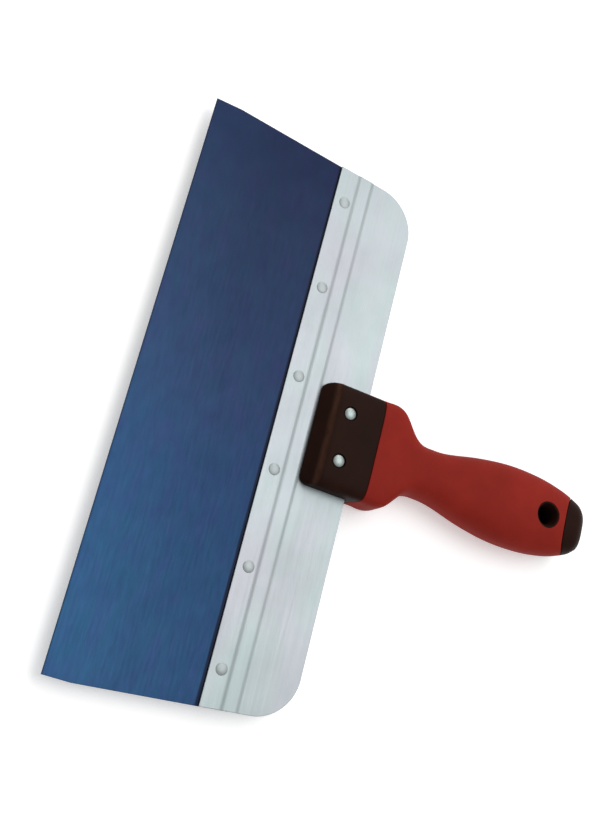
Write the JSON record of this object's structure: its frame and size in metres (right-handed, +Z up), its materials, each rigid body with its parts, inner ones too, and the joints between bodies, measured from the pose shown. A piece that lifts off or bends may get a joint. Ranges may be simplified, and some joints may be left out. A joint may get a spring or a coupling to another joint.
{
  "type": "drywall taping knife",
  "caption": "Wide drywall taping knife: blued spring-steel blade riveted under a ribbed galvanised backing plate, with a hard-core handle in a soft red sleeve.",
  "frame": {"origin": "centre of the bounding box seen from above, at the height of the lowest point, where the handle block's underside and the palm swell touch the surface the tool lies on", "axes": "+X along the blade's working edge, +Y from the working edge to the butt of the handle, +Z up, out of the face with the rivet heads"},
  "size_m": [0.3048, 0.2624, 0.0268],
  "materials": {
    "blued_steel": "tempered blue, satin, fine streaks along the length",
    "galvanised_steel": "galvanised, satin",
    "rivet_steel": "zinc plated, satin",
    "rivet_aluminium": "bright",
    "core_plastic": "fine matt texture, very dark brown",
    "grip_rubber": "soft-touch brick red"
  },
  "bodies": {
    "root": {"blade": "blued_steel", "backing_plate": "galvanised_steel", "blade_rivet_1": "rivet_steel", "blade_rivet_2": "rivet_steel", "blade_rivet_3": "rivet_steel", "blade_rivet_4": "rivet_steel", "blade_rivet_5": "rivet_steel", "blade_rivet_6": "rivet_steel", "handle_core": "core_plastic", "grip_sleeve": "grip_rubber", "handle_rivet_1": "rivet_aluminium", "handle_rivet_2": "rivet_aluminium"}
  },
  "joints": []
}
